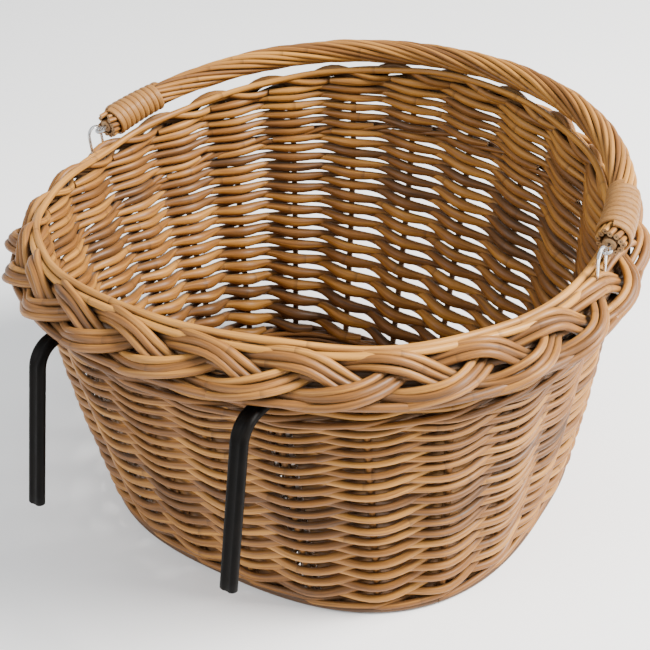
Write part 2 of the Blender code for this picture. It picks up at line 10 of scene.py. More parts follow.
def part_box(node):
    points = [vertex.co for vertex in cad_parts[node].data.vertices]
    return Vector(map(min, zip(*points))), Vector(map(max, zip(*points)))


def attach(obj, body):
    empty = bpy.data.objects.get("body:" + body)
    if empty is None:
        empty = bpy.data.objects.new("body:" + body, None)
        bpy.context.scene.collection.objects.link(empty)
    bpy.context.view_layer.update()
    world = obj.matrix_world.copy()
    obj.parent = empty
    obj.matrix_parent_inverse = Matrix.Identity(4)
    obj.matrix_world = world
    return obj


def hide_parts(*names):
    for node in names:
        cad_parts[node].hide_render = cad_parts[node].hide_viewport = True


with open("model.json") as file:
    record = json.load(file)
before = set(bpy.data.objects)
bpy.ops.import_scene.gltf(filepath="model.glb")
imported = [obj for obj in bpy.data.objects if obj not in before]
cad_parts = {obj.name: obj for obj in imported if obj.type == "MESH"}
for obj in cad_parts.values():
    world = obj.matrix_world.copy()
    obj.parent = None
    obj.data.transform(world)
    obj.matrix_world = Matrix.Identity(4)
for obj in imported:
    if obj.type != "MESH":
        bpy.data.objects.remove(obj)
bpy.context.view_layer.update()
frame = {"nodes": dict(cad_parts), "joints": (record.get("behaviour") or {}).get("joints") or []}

BASKET = "basket"
HANDLE = "handle"
TURN = 2 * math.pi
UP = np.array([0.0, 0.0, 1.0])

# ---- sizes shared with the CAD model, in metres ----------------------------------------------
BASE_HALF_X = 0.1476
BASE_FRONT_Y = 0.1340        # the front is the side with the hooks
BASE_BACK_Y = 0.1120
FRONT_SQUARENESS = 2.6
BACK_SQUARENESS = 3.2
MIDDLE_Y = (BASE_BACK_Y - BASE_FRONT_Y) / 2
MOUTH_HALF = (0.1773, 0.1665)
MOUTH_SQUARENESS = 2.05
FLARE = 1.25
WALL_HALF = 0.0050
RIM_HALF = (0.1800, 0.1692)
RIM_Z = 0.1903
RIM_SADDLE = 0.0093
WALL_TO_RIM = 0.0098
STAKES = 24
BASE_MARGIN = 0.0112
PLAIT_SLANT = math.radians(44.5)
PLAIT_STRANDS = 3
PLAIT_WAVES = 8
HOOK_ANGLES = {"right": math.radians(-67.5), "left": math.radians(-112.5)}
HOOK_HALF_SPACING = 0.0660
HOOK_RUN_Z = 0.1795
HOOK_CORNER_Y = -0.1768
HOOK_BEND = 0.0140
HOOK_LEAN = math.radians(17.4)
HOOK_END_Z = 0.0920
SLEEVE_START = 0.0040
PIVOT_Z = frame["joints"][0]["pos_m"][2]
BOW_HALF_SPAN = 0.1755
BOW_REACH = 0.1640
BOW_SQUARENESS = 2.07
BOW_TILT = math.radians(6.5)
BOW_START = 0.0110
WHIPPING_START = 0.0070
WHIPPING_LENGTH = 0.0400

# ---- sizes of the visible rods ---------------------------------------------------------------
WALL_HEIGHT = RIM_Z - WALL_TO_RIM
STAKE_RADIUS = 0.0023
RAND_LOW = 0.052             # wall fractions between which the side weave lies
RAND_HIGH = 0.852
RAND_PITCH = (0.0060, 0.0034)   # height of a row at the foot and at the top, as the rods taper
UPPER_LOW = 0.895            # a second, finer weave fills in up to the border
UPPER_HIGH = 1.050
UPPER_PITCH = (0.0033, 0.0030)
ROD_TO_PITCH = 0.605         # radius of a weaver for each unit of row height
BITE = 0.0009                # how far a weaver presses into the stakes
INNER_CLIMB = 0.27           # a weaver climbs more on the inside of the wall than on the outside
OUTER_SAG = 0.40             # and is pressed down on the outside of each stake
TOP_SWELL = 0.26             # the upper rows are packed tighter for their height
INNER_SWELL = 0.34           # a weaver looks thicker on the inside, where it is pressed flat
CROSSING_THIN = 0.17         # and thinner where it goes through the wall
SWING_SHARPNESS = 1.05       # 1 gives a weaver the shape of a sine wave in plan
WEAVER_TAIL = 0.34           # rows by which its ends reach past its first and its last stake
WEAVER_TUCK = 0.7            # rows over which its ends thin down, and by what share
WEAVER_END_THIN = 0.2
WEAVER_WANDER = 0.07         # how far it lies above or below its place, in rows
WEAVER_WAVES = (0.9, 2.1, 3.7)  # how fast that changes, in radians for each row
WEAVER_PRESS = 0.0003        # how unevenly it presses against the stakes, and how fast it changes
WEAVER_PRESS_WAVE = 1.7
WALE_WAVES = STAKES // 3     # each rod of a wale goes outside two stakes and inside one
WALE_SWING = 1.35            # with the shift, its rods lie longer outside than inside
WALE_SHIFT = 0.42
WALE_REACH = (-1.0, 1.15)    # how far they go inwards and outwards, as shares of the way
WALE_BITE = 0.0002
WALE_WANDER = 0.0004
FOOT_RODS = 6
FOOT_ROD_START = 0.35        # where the first of them starts, in rods
FOOT_ROD_RADIUS = 0.0023
FOOT_ROD_PLACE = (0.0042, 0.0024)     # outwards and up from the foot of the wall
FOOT_ROD_GAP = math.radians(0.15)
STAKE_LOW = 0.006            # wall fractions where a stake starts and where it bends over
STAKE_BEND_AT = 1.03
STAKE_BEND = math.radians(9.5)
STAKE_BEND_OUT = (0.0005, 0.0070)   # how far out it bends: at the bend, and added at its end
STAKE_BEND_RISE = 0.0045
STAKE_BEND_START = 0.15      # how much of the bend is made in its first step
STAKE_BEND_EASE = 1.6        # above 1 the sideways lean comes mostly near the tip
STAKE_TAPER = 0.86
BORDER_ROD_RADIUS = 0.00225
PLAIT_SWING = 0.0098
PLAIT_LIFT = 0.0047
PLAIT_FLATTEN = (1.3, 0.8)   # makes the strands lie longer along the inner and the outer edge
PLAIT_TURNOVER = 2.5         # how sharply a strand changes between those two
PLAIT_ROD_PITCH = 0.0040
PLAIT_EDGE_CLOSE = 0.10      # the rods of a strand lie closer together at the edges
PLAIT_CROWN = 0.0007         # the middle rod of a strand lies this much higher
PLAIT_WANDER = 0.0004
PLAIT_ROD_UNEVEN = 0.05
# Rods laid along the border: their place across it, how high they lie in it and how pale they are.
# The paleness is painted shade on the rods deep in the gaps and painted light on the two at the inner
# edge.
FILLING = ((-0.0158, 0.0006, 1.0), (-0.0118, 0.0014, 1.1), (-0.0040, -0.0050, -0.3),
           (0.0010, -0.0058, -0.4), (0.0060, -0.0056, -0.3), (0.0128, -0.0016, 0.4))
FILLING_RADIUS = 0.0022
FILLING_WANDER = 0.0005
HANDLE_RODS = 12
HANDLE_ROD_RADIUS = 0.00162
HANDLE_LAY_RADIUS = 0.0061
HANDLE_PITCH = 0.190
HANDLE_SWAY = (0.05, 0.13)      # how unevenly its rods lie: an angle, and over what length
HANDLE_BULGE = (0.0003, 0.09)   # how far they stand off the core, and over what length
HANDLE_END_SPREAD = (0.0008, 0.03)   # they stand off further near the ends
HANDLE_CORE_RADIUS = 0.0041
WHIPPING_TURNS = 9
WHIPPING_RADIUS = 0.0079
WHIPPING_SWELL = 0.0011      # it is thicker at the end of the handle
CANE_FILL = 0.49             # half the strip's width for each unit of the whipping's pitch
CANE_THICKNESS = 0.0015
CANE_BACK = 0.0003
BASE_CORE = (0.092, 0.010)   # the oval core that the base's rounds start from
BASE_ROUNDS = 34
BASE_SPOKES = 18             # places round the base where a round rises or dips
BASE_LEVEL = 0.0045
BASE_SWING = 0.0029
BASE_ROD_RADIUS = 0.00150
BASE_EDGE_SIZE = 1.02
BASE_EDGE_RISES = (-0.0018, 0.0022)
BASE_EDGE_RADIUS = 0.0022
LONG_STICK_SPACING = 0.0048
LONG_STICK_RADIUS = 0.0021
SHORT_STICK_RADIUS = 0.0024
FAN_START = 0.094            # the long sticks spread like a fan outside this
FAN_ANGLE = math.radians(24)
SLEEVE_HALF = (0.0051, 0.0028)
SLEEVE_GROOVE = 0.0007
SLEEVE_GROOVE_WIDTH = 0.28      # as a share of the flat part of the sleeve
SLEEVE_TIP = 0.0006
SLEEVE_TIP_SCALE = 0.86
HOOK_WALL_FRACTION = 0.93    # how high on the wall the hooks come out
# Painted shade between the rods: how deep a crease has to be, and the colour of the shade.
CREASE_SHADE_REACH = 0.010
CREASE_SHADE_COLOUR = (0.084, 0.048, 0.025, 1.0)

# ---- steps along the curved rods -------------------------------------------------------------
STEPS_PER_STAKE = 9          # in the side weave and the wales
BORDER_STEPS = PLAIT_WAVES * 30
STEPS_PER_SPOKE = 12
FOOT_ROD_STEPS = 60
STICK_STEPS = 24
UPRIGHT_STEPS = 14
BEND_STEPS = 7
BOW_FINE_STEPS = 1200
ROPING_STEPS = 220
CORE_STEPS = 120
WHIPPING_ROUTE_STEPS = 1600
STEPS_PER_TURN = 28


# ---- materials -------------------------------------------------------------------------------
class Nodes:
    """A small helper that adds and links shader nodes."""

    def __init__(self, name):
        self.material = bpy.data.materials.new(name)
        self.material.use_nodes = True
        self.tree = self.material.node_tree
        self.shader = self.tree.nodes["Principled BSDF"]

    def add(self, kind, inputs=None, **settings):
        node = self.tree.nodes.new(kind)
        for key, value in settings.items():
            setattr(node, key, value)
        for key, value in (inputs or {}).items():
            self.feed(node.inputs[key], value)
        return node

    def feed(self, socket, value):
        if isinstance(value, bpy.types.NodeSocket):
            self.tree.links.new(value, socket)
        else:
            socket.default_value = value

    def math(self, operation, a, b=0.0):
        return self.add("ShaderNodeMath", {0: a, 1: b}, operation=operation).outputs[0]

    def mix(self, share, a, b):
        node = self.add("ShaderNodeMix", data_type="RGBA", blend_type="MIX")
        self.feed(node.inputs["Factor"], share)
        self.feed(node.inputs["A"], a)
        self.feed(node.inputs["B"], b)
        return node.outputs["Result"]

    def noise(self, vector, scale, detail=3.0):
        node = self.add("ShaderNodeTexNoise", {"Scale": scale, "Detail": detail})
        self.feed(node.inputs["Vector"], vector)
        return node.outputs["Fac"]

    def span(self, value, low, high, out_low=0.0, out_high=1.0):
        node = self.add("ShaderNodeMapRange", interpolation_type="SMOOTHSTEP")
        for key, number in (("Value", value), ("From Min", low), ("From Max", high),
                            ("To Min", out_low), ("To Max", out_high)):
            self.feed(node.inputs[key], number)
        return node.outputs["Result"]

    def ramp(self, value, *stops):
        node = self.add("ShaderNodeValToRGB", {"Fac": value})
        ramp = node.color_ramp
        while len(ramp.elements) < len(stops):
            ramp.elements.new(0.5)
        for element, (place, colour) in zip(ramp.elements, stops):
            element.position = place
            element.color = (*colour, 1.0)
        return node.outputs["Color"]

    def paint_crease_shade(self, colour, reach, shade_colour):
        """Paints shade into the creases between rods: the more closed in a point is, the more of the
        shade colour it gets.
        """
        openness = self.add("ShaderNodeAmbientOcclusion", {"Distance": reach}, samples=6)
        share = self.span(openness.outputs["AO"], 0.20, 0.85, 0.75, 0.0)
        return self.mix(share, colour, shade_colour)

    def finish(self, colour, roughness, height, bump, distance, **constants):
        self.feed(self.shader.inputs["Base Color"], colour)
        self.feed(self.shader.inputs["Roughness"], roughness)
        normal = self.add("ShaderNodeBump", {"Strength": bump, "Distance": distance,
                                             "Height": height})
        self.feed(self.shader.inputs["Normal"], normal.outputs["Normal"])
        for key, value in constants.items():
            self.shader.inputs[key.replace("_", " ")].default_value = value
        return self.material


def rod_coordinates(nodes, across, along):
    """Coordinates that stretch a texture along a rod: around it and down its length."""
    place = nodes.add("ShaderNodeAttribute", attribute_name="rod_pos").outputs["Vector"]
    return nodes.add("ShaderNodeVectorMath", {0: place, 1: (across, across, along)},
                     operation="MULTIPLY").outputs[0]


def willow_material(name, deep, body, pale):
    """Buff willow: honey to golden rods with a fine grain, bud scars and a satin skin."""
    nodes = Nodes(name)
    tint = nodes.add("ShaderNodeAttribute", attribute_name="rod_tint").outputs["Fac"]
    place = nodes.add("ShaderNodeTexCoord").outputs["Object"]
    grain = nodes.noise(rod_coordinates(nodes, 1.6, 22.0), 1.0, 5.0)
    streak = nodes.noise(rod_coordinates(nodes, 5.0, 60.0), 1.0, 3.0)
    patch = nodes.noise(place, 14.0, 2.0)
    tone = nodes.math("ADD", nodes.math("MULTIPLY", grain, 0.55), nodes.math("MULTIPLY", patch, 0.25))
    tone = nodes.math("ADD", tone, nodes.math("MULTIPLY", streak, 0.20))
    tone = nodes.math("ADD", tone, nodes.math("MULTIPLY", nodes.math("SUBTRACT", tint, 0.5), 0.30))
    colour = nodes.ramp(tone, (0.28, deep), (0.50, body), (0.74, pale))
    length = nodes.add("ShaderNodeSeparateXYZ", {0: rod_coordinates(nodes, 1.0, 9.0)}).outputs["Z"]
    scar = nodes.span(nodes.math("FRACT", length), 0.0, 0.035, 1.0, 0.0)
    colour = nodes.mix(nodes.math("MULTIPLY", scar, 0.45), colour, (*deep, 1.0))
    # painted shade: the creases between rods are darkened in the colour itself
    colour = nodes.paint_crease_shade(colour, CREASE_SHADE_REACH, CREASE_SHADE_COLOUR)
    roughness = nodes.span(streak, 0.2, 0.8, 0.38, 0.58)
    height = nodes.math("ADD", nodes.math("MULTIPLY", streak, 0.7), nodes.math("MULTIPLY", scar, 0.5))
    return nodes.finish(colour, roughness, height, 0.45, 0.0005,
                        Specular_IOR_Level=0.27, Coat_Weight=0.05, Coat_Roughness=0.32)


def cut_end_material():
    """The sawn end of a rod: pale wood round a dark pith."""
    nodes = Nodes("willow_cut_end")
    place = nodes.add("ShaderNodeSeparateXYZ", {0: rod_coordinates(nodes, 1.0, 0.0)})
    radius = nodes.math("SQRT", nodes.math("ADD", nodes.math("POWER", place.outputs["X"], 2.0),
                                           nodes.math("POWER", place.outputs["Y"], 2.0)))
    fleck = nodes.noise(nodes.add("ShaderNodeTexCoord").outputs["Object"], 2200.0, 2.0)
    wood = nodes.ramp(fleck, (0.3, (0.22, 0.115, 0.045)), (0.7, (0.42, 0.26, 0.12)))
    pith = nodes.span(radius, 0.22, 0.34, 1.0, 0.0)
    rim = nodes.span(radius, 0.82, 1.0, 0.0, 0.7)
    colour = nodes.mix(pith, wood, (0.04, 0.018, 0.008, 1.0))
    colour = nodes.mix(rim, colour, (0.14, 0.06, 0.018, 1.0))
    return nodes.finish(colour, 0.75, fleck, 0.4, 0.0004)


def cane_material():
    """Split cane: pale and smooth, with fine fibres along the strip."""
    nodes = Nodes("cane_strip")
    grain = nodes.noise(rod_coordinates(nodes, 6.0, 30.0), 1.0, 4.0)
    fibre = nodes.noise(rod_coordinates(nodes, 26.0, 40.0), 1.0, 2.0)
    tint = nodes.add("ShaderNodeAttribute", attribute_name="rod_tint").outputs["Fac"]
    tone = nodes.math("ADD", nodes.math("MULTIPLY", grain, 0.8), nodes.math("MULTIPLY", tint, 0.2))
    colour = nodes.ramp(tone, (0.25, (0.14, 0.058, 0.014)), (0.5, (0.29, 0.132, 0.032)),
                        (0.8, (0.42, 0.215, 0.064)))
    return nodes.finish(colour, nodes.span(grain, 0.2, 0.8, 0.34, 0.5), fibre, 0.5, 0.0004,
                        Specular_IOR_Level=0.3, Coat_Weight=0.05, Coat_Roughness=0.3)


def sleeve_material():
    """Black extruded plastic with a fine skin and faint scuffs."""
    nodes = Nodes("black_sleeve")
    place = nodes.add("ShaderNodeTexCoord").outputs["Object"]
    scuff = nodes.noise(place, 90.0, 4.0)
    skin = nodes.noise(place, 900.0, 3.0)
    colour = nodes.ramp(scuff, (0.35, (0.0016, 0.0012, 0.0010)), (0.75, (0.0050, 0.0040, 0.0034)))
    return nodes.finish(colour, nodes.span(scuff, 0.3, 0.8, 0.42, 0.60), skin, 0.25, 0.0003,
                        Specular_IOR_Level=0.06)


def steel_material():
    """Bright drawn wire, a little duller in patches."""
    nodes = Nodes("steel_wire")
    place = nodes.add("ShaderNodeTexCoord").outputs["Object"]
    drawn = nodes.noise(place, 700.0, 3.0)
    dull = nodes.noise(place, 160.0, 3.0)
    colour = nodes.ramp(dull, (0.3, (0.45, 0.44, 0.43)), (0.6, (0.80, 0.79, 0.78)))
    return nodes.finish(colour, nodes.span(dull, 0.3, 0.7, 0.34, 0.16), drawn, 0.2, 0.0002,
                        Metallic=1.0)


def floor_material():
    """Pale grey, almost even."""
    nodes = Nodes("studio_floor")
    place = nodes.add("ShaderNodeTexCoord").outputs["Object"]
    cloud = nodes.noise(place, 3.0, 2.0)
    colour = nodes.ramp(cloud, (0.3, (0.94, 0.94, 0.94)), (0.7, (0.96, 0.96, 0.96)))
    return nodes.finish(colour, 0.8, cloud, 0.0, 0.001)


WILLOW = willow_material("buff_willow", (0.064, 0.029, 0.011), (0.208, 0.082, 0.016),
                         (0.468, 0.215, 0.038))
CUT_END = cut_end_material()
CANE = cane_material()
SLEEVE = sleeve_material()
STEEL = steel_material()


# ---- rods ------------------------------------------------------------------------------------
def unit(vectors):
    return vectors / np.linalg.norm(vectors, axis=-1, keepdims=True)


def path_tangents(path, closed):
    if closed:
        return unit(np.roll(path, -1, axis=0) - np.roll(path, 1, axis=0))
    return unit(np.gradient(path, axis=0))


class RodMesh:
    """Collects swept rods into one mesh, with each rod's own grain and tint."""

    def __init__(self):
        self.points, self.faces, self.cap_faces = [], [], []
        self.places, self.tints = [], []
        self.count = 0

    def keep(self, points, places, tint):
        self.points.append(points)
        self.places.append(places)
        self.tints.append(np.full(len(points), tint))
        start = self.count
        self.count += len(points)
        return start

    def sweep(self, path, section, hints, closed, tint, seed):
        """section is one outline (m, 2), or one for each point of the path (n, m, 2)."""
        path = np.asarray(path, float)
        along = path_tangents(path, closed)
        side = unit(hints - along * (along * hints).sum(-1, keepdims=True))
        lift = np.cross(along, side)
        section = np.broadcast_to(section, (len(path), *np.shape(section)[-2:]))
        points = (path[:, None] + side[:, None] * section[..., :1] + lift[:, None] * section[..., 1:])
        steps = np.linalg.norm(np.diff(path, axis=0), axis=1)
        length = seed + np.concatenate([[0.0], np.cumsum(steps)])
        around = unit(section)
        places = np.concatenate([around, np.broadcast_to(length[:, None, None],
                                                         (*around.shape[:2], 1))], axis=-1)
        rows, size = points.shape[:2]
        start = self.keep(points.reshape(-1, 3), places.reshape(-1, 3), tint)
        for k in range(rows if closed else rows - 1):
            here, after = start + k * size, start + ((k + 1) % rows) * size
            for j in range(size):
                step = (j + 1) % size
                self.faces.append((here + j, here + step, after + step, after + j))
        if not closed:
            self.cap(start, path[0], length[0], size, tint, flip=False)
            self.cap(start + (rows - 1) * size, path[-1], length[-1], size, tint, flip=True)

    def cap(self, ring, middle, length, size, tint, flip):
        hub = self.keep(np.array([middle]), np.array([[0.0, 0.0, length]]), tint)
        for j in range(size):
            edge = (ring + j, ring + (j + 1) % size)
            self.cap_faces.append((hub, *(edge if flip else edge[::-1])))

    def rod(self, path, radius, hints, closed=False, sides=8, tint=0.5, seed=0.0):
        angles = np.arange(sides) * TURN / sides
        outline = np.stack([np.cos(angles), np.sin(angles)], axis=-1)
        radius = np.broadcast_to(radius, len(path))
        self.sweep(path, outline[None] * radius[:, None, None], hints, closed, tint, seed)

    def build(self, name, body, material, replaces=(), ends=None):
        mesh = bpy.data.meshes.new(name)
        mesh.from_pydata(np.concatenate(self.points).tolist(), [], self.faces + self.cap_faces)
        mesh.materials.append(material)
        mesh.materials.append(ends or material)
        place = mesh.attributes.new("rod_pos", "FLOAT_VECTOR", "POINT")
        place.data.foreach_set("vector", np.concatenate(self.places).ravel().astype(np.float32))
        tint = mesh.attributes.new("rod_tint", "FLOAT", "POINT")
        tint.data.foreach_set("value", np.concatenate(self.tints).astype(np.float32))
        slots = np.zeros(len(mesh.polygons), np.int32)
        slots[len(self.faces):] = 1
        mesh.polygons.foreach_set("material_index", slots)
        mesh.shade_smooth()
        mesh.set_sharp_from_angle(angle=math.radians(50))
        return place_piece(bpy.data.objects.new(name, mesh), body, replaces)


def place_piece(piece, body, replaces=()):
    bpy.context.collection.objects.link(piece)
    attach(piece, body)
    if replaces:
        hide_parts(*replaces)
    return piece


def wobble(angles, seed, waves=(3, 5, 8, 13)):
    """Smooth noise of about one that closes on itself round the oval."""
    draw = random.Random(seed)
    total = np.zeros_like(angles)
    for wave in waves:
        total += math.sqrt(2.0 / len(waves)) * np.sin(wave * angles + draw.uniform(0, TURN))
    return total


# ---- the oval wall ---------------------------------------------------------------------------
def oval(half, squareness, angle):
    """Points of the oval and their outward directions in plan, for an array of angles."""
    c, s = np.cos(angle), np.sin(angle)
    reach = (np.abs(c) ** squareness + np.abs(s) ** squareness) ** (-1.0 / squareness)
    x, y = c * reach, s * reach
    slope = squareness - 1.0
    flat = np.zeros_like(x)
    outward = unit(np.stack([np.sign(x) * np.abs(x) ** slope / half[0],
                             np.sign(y) * np.abs(y) ** slope / half[1], flat], axis=-1))
    return np.stack([half[0] * x, half[1] * y, flat], axis=-1), outward


def rim_height(angle):
    return RIM_Z - RIM_SADDLE * np.cos(2 * angle)


def wall_point(angle, fraction, out=0.0, rise=0.0, along=0.0):
    """Points of the wall's middle surface, moved outwards, up and along the wall."""
    angle, fraction = np.broadcast_arrays(np.asarray(angle, float), np.asarray(fraction, float))
    front = np.sin(angle) < 0.0
    base_y = np.where(front, BASE_FRONT_Y, BASE_BACK_Y)
    base_squareness = np.where(front, FRONT_SQUARENESS, BACK_SQUARENESS)
    spread = 1.0 - np.clip(1.0 - fraction, 0.0, 1.0) ** FLARE
    half = (BASE_HALF_X + (MOUTH_HALF[0] - BASE_HALF_X) * spread,
            base_y + (MOUTH_HALF[1] - base_y) * spread)
    squareness = base_squareness + (MOUTH_SQUARENESS - base_squareness) * spread
    point, outward = oval(half, squareness, angle)
    sideways = np.cross(UP, outward)
    out, rise, along = (np.broadcast_to(v, angle.shape)[..., None] for v in (out, rise, along))
    point = point + outward * (out - WALL_HALF) + sideways * along
    height = fraction * (rim_height(angle) - WALL_TO_RIM)
    point[..., 2] += height + rise[..., 0]
    return point


def wall_outward(angle):
    return oval(MOUTH_HALF, MOUTH_SQUARENESS, angle)[1]


def stake_angle(k):
    return TURN * (k + 0.5) / STAKES


# ---- side weave: French randing, one rod from each stake, climbing a row at each stake --------
def rand_rows(low, high, pitches):
    """Wall fractions of the rows, an even number of steps apart."""
    rows = [low]
    while rows[-1] < high or len(rows) % 2 == 0:
        share = min((rows[-1] - low) / (high - low), 1.0)
        pitch = pitches[0] + (pitches[1] - pitches[0]) * share
        rows.append(rows[-1] + pitch / WALL_HEIGHT)
    return np.array(rows)


def rand_rod(mesh, first, rows, draw):
    """A rod that starts and ends inside the wall, behind a stake, and tapers as it climbs."""
    last = len(rows) - 1
    count = int((last + 2 * WEAVER_TAIL) * STEPS_PER_STAKE)
    row = np.linspace(-WEAVER_TAIL, last + WEAVER_TAIL, count)
    angle = TURN * (first + row + 0.5) / STAKES
    fraction = np.interp(row, np.arange(len(rows)), rows)
    pitch = np.interp(row, np.arange(last) + 0.5, np.diff(rows)) * WALL_HEIGHT
    radius = pitch * ROD_TO_PITCH * draw.uniform(0.94, 1.06) * (1.0 + TOP_SWELL * fraction)
    swing = -np.cos(math.pi * row)
    swing = np.sign(swing) * np.abs(swing) ** SWING_SHARPNESS
    from_end = np.minimum(row - row[0], row[-1] - row)
    tuck = np.clip(1.0 - from_end / WEAVER_TUCK, 0.0, 1.0)
    rise = sum(WEAVER_WANDER * pitch * np.sin(row * wave + draw.uniform(0, TURN))
               for wave in WEAVER_WAVES)
    rise = rise + INNER_CLIMB * pitch * np.sin(math.pi * row)
    rise = rise - OUTER_SAG * pitch * np.clip(-np.cos(math.pi * row), 0.0, 1.0)
    radius = radius * (1.0 + INNER_SWELL * np.cos(math.pi * row)
                       - CROSSING_THIN * np.sin(math.pi * row) ** 2)
    press = WEAVER_PRESS * np.sin(row * WEAVER_PRESS_WAVE + draw.uniform(0, TURN))
    depth = STAKE_RADIUS + radius - BITE + press
    path = wall_point(angle, fraction, depth * swing, rise)
    mesh.rod(path, radius * (1.0 - WEAVER_END_THIN * tuck), wall_outward(angle), sides=8,
             tint=draw.uniform(0.1, 0.9), seed=draw.uniform(0.0, 40.0))


def build_side_weave():
    """One piece for each weaver of the side, and one for the finer rows under the border."""
    rows = rand_rows(RAND_LOW, RAND_HIGH, RAND_PITCH)
    for k in range(STAKES):
        draw = random.Random(1000 + k)
        mesh = RodMesh()
        rand_rod(mesh, k, rows, draw)
        mesh.build(f"weaver_{k + 1:02d}", BASKET, WILLOW,
                   ("side_weave",) if k == 0 else (), CUT_END)
    upper = RodMesh()
    rows = rand_rows(UPPER_LOW, UPPER_HIGH, UPPER_PITCH)
    for k in range(STAKES):
        rand_rod(upper, k, rows, random.Random(2000 + k))
    upper.build("upper_weavers", BASKET, WILLOW, ("top_wale",), CUT_END)


# ---- wales: three rods that take turns outside two stakes and inside one ------------------------
def build_wale(name, fraction, rise, rod_radius, node, lift, seed):
    """fraction and rise give the wale's height on the wall, lift how far its rods climb and dip."""
    mesh = RodMesh()
    draw = random.Random(seed)
    steps = STAKES * STEPS_PER_STAKE
    angle = TURN * np.arange(steps) / steps
    for j in range(3):
        phase = WALE_WAVES * angle + TURN / 3 * (1 + j)
        swing = np.clip(WALE_SWING * np.cos(phase) + WALE_SHIFT, *WALE_REACH)
        out = (STAKE_RADIUS + rod_radius - WALE_BITE) * swing
        up = lift * np.sin(phase) + WALE_WANDER * wobble(angle, seed + j)
        path = wall_point(angle, fraction, out, rise + up)
        mesh.rod(path, rod_radius * draw.uniform(0.95, 1.05), wall_outward(angle), closed=True,
                 tint=draw.uniform(0.2, 0.8), seed=draw.uniform(0, 40))
    mesh.build(name, BASKET, WILLOW, (node,))


def build_foot():
    """The last rods, laid round the foot of the wall end to end."""
    mesh = RodMesh()
    draw = random.Random(77)
    for k in range(FOOT_RODS):
        start = TURN * (k + FOOT_ROD_START) / FOOT_RODS
        end = TURN * (k + FOOT_ROD_START + 1) / FOOT_RODS
        angle = np.linspace(start + FOOT_ROD_GAP, end - FOOT_ROD_GAP, FOOT_ROD_STEPS)
        path = wall_point(angle, 0.0, *FOOT_ROD_PLACE)
        # the foot rods are tinted darker than the rest: painted shade at the foot of the wall
        mesh.rod(path, FOOT_ROD_RADIUS, wall_outward(angle), sides=10,
                 tint=draw.uniform(-0.3, 0.2), seed=draw.uniform(0, 40))
    mesh.build("foot_rods", BASKET, WILLOW, (), CUT_END)


# ---- stakes: up through the weave, then bent over under the border ------------------------------
def build_stakes():
    """One piece for each stake."""
    for k in range(STAKES):
        draw = random.Random(300 + k)
        angle = stake_angle(k)
        fractions = np.linspace(STAKE_LOW, STAKE_BEND_AT, UPRIGHT_STEPS)
        upright = wall_point(np.full(UPRIGHT_STEPS, angle), fractions)
        lean = np.linspace(STAKE_BEND_START, 1.0, BEND_STEPS)
        bent = wall_point(angle + STAKE_BEND * lean ** STAKE_BEND_EASE, STAKE_BEND_AT,
                          STAKE_BEND_OUT[0] + STAKE_BEND_OUT[1] * lean,
                          STAKE_BEND_RISE * np.sin(lean * math.pi / 2))
        path = np.concatenate([upright, bent])
        hints = np.broadcast_to(wall_outward(np.array([angle])), path.shape)
        mesh = RodMesh()
        radius = STAKE_RADIUS * np.linspace(1.0, STAKE_TAPER, len(path))
        mesh.rod(path, radius, hints, sides=10, tint=draw.uniform(0.1, 0.6),
                 seed=draw.uniform(0, 40))
        mesh.build(f"willow_stake_{k + 1:02d}", BASKET, WILLOW, (f"stake_{k + 1:02d}",),
                   CUT_END)


# ---- the plaited border ------------------------------------------------------------------------
def plait_centre(angle, phase):
    """Middle line of a strand, the face direction and how near the strand is to an edge."""
    middle, outward = oval(RIM_HALF, MOUTH_SQUARENESS, angle)
    middle[:, 2] += rim_height(angle)
    across = outward * math.cos(PLAIT_SLANT) - UP * math.sin(PLAIT_SLANT)
    face = outward * math.sin(PLAIT_SLANT) + UP * math.cos(PLAIT_SLANT)
    turn = PLAIT_WAVES * angle + phase
    inner, outer = PLAIT_FLATTEN
    flatten = inner + (outer - inner) * (0.5 + 0.5 * np.tanh(PLAIT_TURNOVER * np.cos(turn)))
    swing = PLAIT_SWING * np.tanh(flatten * np.cos(turn)) / np.tanh(flatten)
    lift = PLAIT_LIFT * np.sin(2 * turn)
    return middle + across * swing[:, None] + face * lift[:, None], face, np.abs(np.cos(turn))


def build_border():
    """Three strands of three rods each, plaited round the rim."""
    angle = TURN * np.arange(BORDER_STEPS) / BORDER_STEPS
    for k in range(PLAIT_STRANDS):
        draw = random.Random(40 + k)
        mesh = RodMesh()
        middle, face, edge = plait_centre(angle, TURN * k / PLAIT_STRANDS)
        flat = unit(np.cross(face, path_tangents(middle, True)))
        for rod in (-1, 0, 1):
            seed = 10 * k + rod + 5
            shift = rod * PLAIT_ROD_PITCH * (1.0 - PLAIT_EDGE_CLOSE * edge)
            shift = shift + PLAIT_WANDER * wobble(angle, seed, (9, 17, 26))
            crown = PLAIT_CROWN * (rod == 0) + PLAIT_WANDER * wobble(angle, seed + 60, (7, 16, 25))
            path = middle + flat * shift[:, None] + face * crown[:, None]
            uneven = PLAIT_ROD_UNEVEN * wobble(angle, seed + 90, (2, 3, 5))
            radius = BORDER_ROD_RADIUS * (1.0 + uneven)
            mesh.rod(path, radius, face, closed=True, sides=10, tint=draw.uniform(0.2, 0.9),
                     seed=draw.uniform(0, 40))
        mesh.build(f"plaited_border_{k + 1}", BASKET, WILLOW, (f"plait_strand_{k + 1}",))


